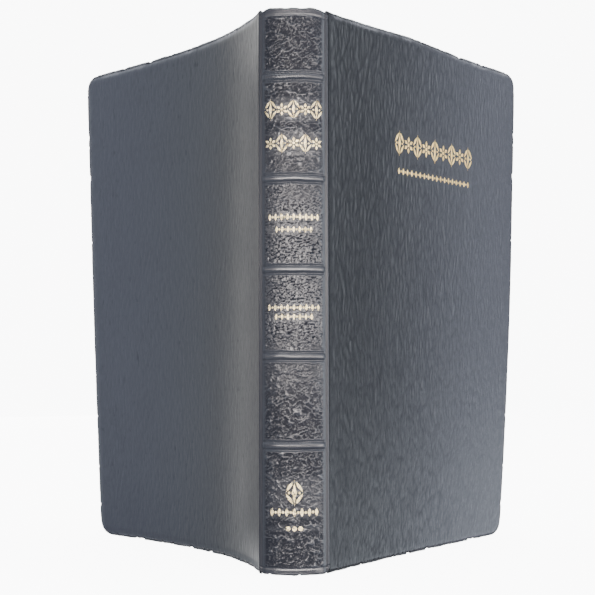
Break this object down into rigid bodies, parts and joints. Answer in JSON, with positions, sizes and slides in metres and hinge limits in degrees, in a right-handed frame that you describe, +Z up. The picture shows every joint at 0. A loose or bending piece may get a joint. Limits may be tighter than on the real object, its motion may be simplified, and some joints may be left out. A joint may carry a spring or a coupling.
{
  "type": "bible",
  "caption": "Flexible leather-bound bible with a rounded, banded spine, standing open on its tail; covers and page sections hinge at the spine from shut to flat.",
  "frame": {"origin": "foot of the spine: the middle of the spine leather's thickness at its tail edge, on the surface that the book stands on", "axes": "+Z up the spine from tail to head, +Y from the spine towards the fore-edges, +X towards the front cover"},
  "size_m": [0.2008, 0.1318, 0.21],
  "materials": {
    "leather": "long-grained bonded leather, satin",
    "card": "grey board",
    "kraft": "kraft paper",
    "endpaper": "smooth endpaper",
    "bible_paper": "thin opaque bible paper",
    "cloth": "open-weave cotton",
    "band_silk": "woven headband",
    "thread": "sewing thread",
    "glue": "flexible binding glue",
    "gold_foil": "stamped gold foil"
  },
  "bodies": {
    "spine": {"spine_leather": "leather", "spine_inlay": "card", "raised_bands": "card", "spine_lining": "kraft", "spine_mull": "cloth", "spine_glue": "glue", "sewing_thread": "thread", "sewn_folds": "bible_paper", "head_band": "band_silk", "tail_band": "band_silk", "spine_title_foil": "gold_foil", "spine_line_foil": "gold_foil", "spine_emblem_foil": "gold_foil"},
    "front_cover": {"front_leather": "leather", "front_board": "card", "front_pastedown": "endpaper", "front_title_foil": "gold_foil", "front_line_foil": "gold_foil"},
    "back_cover": {"back_leather": "leather", "back_board": "card", "back_pastedown": "endpaper"},
    "front_flyleaf": {"front_flyleaf": "endpaper"},
    "back_flyleaf": {"back_flyleaf": "endpaper"},
    "section_01": {"section_01": "bible_paper"},
    "section_02": {"section_02": "bible_paper"},
    "section_03": {"section_03": "bible_paper"},
    "section_04": {"section_04": "bible_paper"},
    "section_05": {"section_05": "bible_paper"},
    "section_06": {"section_06": "bible_paper"},
    "section_07": {"section_07": "bible_paper"},
    "section_08": {"section_08": "bible_paper"},
    "section_09": {"section_09": "bible_paper"},
    "section_10": {"section_10": "bible_paper"},
    "section_11": {"section_11": "bible_paper"},
    "section_12": {"section_12": "bible_paper"},
    "section_13": {"section_13": "bible_paper"},
    "section_14": {"section_14": "bible_paper"},
    "section_15": {"section_15": "bible_paper"},
    "section_16": {"section_16": "bible_paper"},
    "section_17": {"section_17": "bible_paper"},
    "section_18": {"section_18": "bible_paper"},
    "section_19": {"section_19": "bible_paper"},
    "section_20": {"section_20": "bible_paper"},
    "section_21": {"section_21": "bible_paper"},
    "section_22": {"section_22": "bible_paper"},
    "section_23": {"section_23": "bible_paper"},
    "section_24": {"section_24": "bible_paper"},
    "section_25": {"section_25": "bible_paper"},
    "section_26": {"section_26": "bible_paper"},
    "section_27": {"section_27": "bible_paper"},
    "section_28": {"section_28": "bible_paper"}
  },
  "joints": [
    {"name": "front_cover_hinge", "type": "hinge", "parent": "spine", "child": "front_cover", "pos_m": [0.013, 0.00455, 0.105], "axis": [0, 0, -1], "range_deg": [-40, 50]},
    {"name": "back_cover_hinge", "type": "hinge", "parent": "spine", "child": "back_cover", "pos_m": [-0.013, 0.00455, 0.105], "axis": [0, 0, 1], "range_deg": [-36, 54]},
    {"name": "front_flyleaf_fold", "type": "hinge", "parent": "spine", "child": "front_flyleaf", "pos_m": [0.011, 0.0065, 0.105], "axis": [0, 0, -1], "range_deg": [-38.82, 48.52]},
    {"name": "back_flyleaf_fold", "type": "hinge", "parent": "spine", "child": "back_flyleaf", "pos_m": [-0.011, 0.0065, 0.105], "axis": [0, 0, 1], "range_deg": [-34.94, 52.4]},
    {"name": "section_01_fold", "type": "hinge", "parent": "spine", "child": "section_01", "pos_m": [0.01046, 0.00685, 0.105], "axis": [0, 0, -1], "range_deg": [-36.82, 46.02]},
    {"name": "section_02_fold", "type": "hinge", "parent": "spine", "child": "section_02", "pos_m": [0.00969, 0.00685, 0.105], "axis": [0, 0, -1], "range_deg": [-36.14, 45.17]},
    {"name": "section_03_fold", "type": "hinge", "parent": "spine", "child": "section_03", "pos_m": [0.00891, 0.00685, 0.105], "axis": [0, 0, -1], "range_deg": [-35.47, 44.33]},
    {"name": "section_04_fold", "type": "hinge", "parent": "spine", "child": "section_04", "pos_m": [0.00814, 0.00685, 0.105], "axis": [0, 0, -1], "range_deg": [-34.79, 43.48]},
    {"name": "section_05_fold", "type": "hinge", "parent": "spine", "child": "section_05", "pos_m": [0.00736, 0.00685, 0.105], "axis": [0, 0, -1], "range_deg": [-34.11, 42.64]},
    {"name": "section_06_fold", "type": "hinge", "parent": "spine", "child": "section_06", "pos_m": [0.00659, 0.00685, 0.105], "axis": [0, 0, -1], "range_deg": [-33.44, 41.79]},
    {"name": "section_07_fold", "type": "hinge", "parent": "spine", "child": "section_07", "pos_m": [0.00581, 0.00685, 0.105], "axis": [0, 0, -1], "range_deg": [-32.76, 40.94]},
    {"name": "section_08_fold", "type": "hinge", "parent": "spine", "child": "section_08", "pos_m": [0.00504, 0.00685, 0.105], "axis": [0, 0, -1], "range_deg": [-32.08, 40.1]},
    {"name": "section_09_fold", "type": "hinge", "parent": "spine", "child": "section_09", "pos_m": [0.00426, 0.00685, 0.105], "axis": [0, 0, -1], "range_deg": [-31.4, 39.25]},
    {"name": "section_10_fold", "type": "hinge", "parent": "spine", "child": "section_10", "pos_m": [0.00349, 0.00685, 0.105], "axis": [0, 0, -1], "range_deg": [-30.73, 38.4]},
    {"name": "section_11_fold", "type": "hinge", "parent": "spine", "child": "section_11", "pos_m": [0.00271, 0.00685, 0.105], "axis": [0, 0, -1], "range_deg": [-30.05, 37.56]},
    {"name": "section_12_fold", "type": "hinge", "parent": "spine", "child": "section_12", "pos_m": [0.00194, 0.00685, 0.105], "axis": [0, 0, -1], "range_deg": [-29.37, 36.71]},
    {"name": "section_13_fold", "type": "hinge", "parent": "spine", "child": "section_13", "pos_m": [0.00116, 0.00685, 0.105], "axis": [0, 0, -1], "range_deg": [-28.7, 35.87]},
    {"name": "section_14_fold", "type": "hinge", "parent": "spine", "child": "section_14", "pos_m": [0.00039, 0.00685, 0.105], "axis": [0, 0, -1], "range_deg": [-28.02, 35.02]},
    {"name": "section_15_fold", "type": "hinge", "parent": "spine", "child": "section_15", "pos_m": [-0.00039, 0.00685, 0.105], "axis": [0, 0, 1], "range_deg": [-25.22, 37.82]},
    {"name": "section_16_fold", "type": "hinge", "parent": "spine", "child": "section_16", "pos_m": [-0.00116, 0.00685, 0.105], "axis": [0, 0, 1], "range_deg": [-25.83, 38.73]},
    {"name": "section_17_fold", "type": "hinge", "parent": "spine", "child": "section_17", "pos_m": [-0.00194, 0.00685, 0.105], "axis": [0, 0, 1], "range_deg": [-26.44, 39.65]},
    {"name": "section_18_fold", "type": "hinge", "parent": "spine", "child": "section_18", "pos_m": [-0.00271, 0.00685, 0.105], "axis": [0, 0, 1], "range_deg": [-27.05, 40.56]},
    {"name": "section_19_fold", "type": "hinge", "parent": "spine", "child": "section_19", "pos_m": [-0.00349, 0.00685, 0.105], "axis": [0, 0, 1], "range_deg": [-27.66, 41.48]},
    {"name": "section_20_fold", "type": "hinge", "parent": "spine", "child": "section_20", "pos_m": [-0.00426, 0.00685, 0.105], "axis": [0, 0, 1], "range_deg": [-28.27, 42.39]},
    {"name": "section_21_fold", "type": "hinge", "parent": "spine", "child": "section_21", "pos_m": [-0.00504, 0.00685, 0.105], "axis": [0, 0, 1], "range_deg": [-28.88, 43.3]},
    {"name": "section_22_fold", "type": "hinge", "parent": "spine", "child": "section_22", "pos_m": [-0.00581, 0.00685, 0.105], "axis": [0, 0, 1], "range_deg": [-29.48, 44.22]},
    {"name": "section_23_fold", "type": "hinge", "parent": "spine", "child": "section_23", "pos_m": [-0.00659, 0.00685, 0.105], "axis": [0, 0, 1], "range_deg": [-30.09, 45.13]},
    {"name": "section_24_fold", "type": "hinge", "parent": "spine", "child": "section_24", "pos_m": [-0.00736, 0.00685, 0.105], "axis": [0, 0, 1], "range_deg": [-30.7, 46.04]},
    {"name": "section_25_fold", "type": "hinge", "parent": "spine", "child": "section_25", "pos_m": [-0.00814, 0.00685, 0.105], "axis": [0, 0, 1], "range_deg": [-31.31, 46.96]},
    {"name": "section_26_fold", "type": "hinge", "parent": "spine", "child": "section_26", "pos_m": [-0.00891, 0.00685, 0.105], "axis": [0, 0, 1], "range_deg": [-31.92, 47.87]},
    {"name": "section_27_fold", "type": "hinge", "parent": "spine", "child": "section_27", "pos_m": [-0.00969, 0.00685, 0.105], "axis": [0, 0, 1], "range_deg": [-32.53, 48.79]},
    {"name": "section_28_fold", "type": "hinge", "parent": "spine", "child": "section_28", "pos_m": [-0.01046, 0.00685, 0.105], "axis": [0, 0, 1], "range_deg": [-33.14, 49.7]}
  ],
  "couplings": [
    {"joint": "front_flyleaf_fold", "follows": "front_cover_hinge", "ratio": 0.97},
    {"joint": "back_flyleaf_fold", "follows": "back_cover_hinge", "ratio": 0.97},
    {"joint": "section_01_fold", "follows": "front_cover_hinge", "ratio": 0.92},
    {"joint": "section_02_fold", "follows": "front_cover_hinge", "ratio": 0.90308},
    {"joint": "section_03_fold", "follows": "front_cover_hinge", "ratio": 0.88615},
    {"joint": "section_04_fold", "follows": "front_cover_hinge", "ratio": 0.86923},
    {"joint": "section_05_fold", "follows": "front_cover_hinge", "ratio": 0.85231},
    {"joint": "section_06_fold", "follows": "front_cover_hinge", "ratio": 0.83539},
    {"joint": "section_07_fold", "follows": "front_cover_hinge", "ratio": 0.81846},
    {"joint": "section_08_fold", "follows": "front_cover_hinge", "ratio": 0.80154},
    {"joint": "section_09_fold", "follows": "front_cover_hinge", "ratio": 0.78461},
    {"joint": "section_10_fold", "follows": "front_cover_hinge", "ratio": 0.76769},
    {"joint": "section_11_fold", "follows": "front_cover_hinge", "ratio": 0.75077},
    {"joint": "section_12_fold", "follows": "front_cover_hinge", "ratio": 0.73385},
    {"joint": "section_13_fold", "follows": "front_cover_hinge", "ratio": 0.71692},
    {"joint": "section_14_fold", "follows": "front_cover_hinge", "ratio": 0.7},
    {"joint": "section_15_fold", "follows": "back_cover_hinge", "ratio": 0.7},
    {"joint": "section_16_fold", "follows": "back_cover_hinge", "ratio": 0.71692},
    {"joint": "section_17_fold", "follows": "back_cover_hinge", "ratio": 0.73385},
    {"joint": "section_18_fold", "follows": "back_cover_hinge", "ratio": 0.75077},
    {"joint": "section_19_fold", "follows": "back_cover_hinge", "ratio": 0.76769},
    {"joint": "section_20_fold", "follows": "back_cover_hinge", "ratio": 0.78461},
    {"joint": "section_21_fold", "follows": "back_cover_hinge", "ratio": 0.80154},
    {"joint": "section_22_fold", "follows": "back_cover_hinge", "ratio": 0.81846},
    {"joint": "section_23_fold", "follows": "back_cover_hinge", "ratio": 0.83539},
    {"joint": "section_24_fold", "follows": "back_cover_hinge", "ratio": 0.85231},
    {"joint": "section_25_fold", "follows": "back_cover_hinge", "ratio": 0.86923},
    {"joint": "section_26_fold", "follows": "back_cover_hinge", "ratio": 0.88615},
    {"joint": "section_27_fold", "follows": "back_cover_hinge", "ratio": 0.90308},
    {"joint": "section_28_fold", "follows": "back_cover_hinge", "ratio": 0.92}
  ]
}
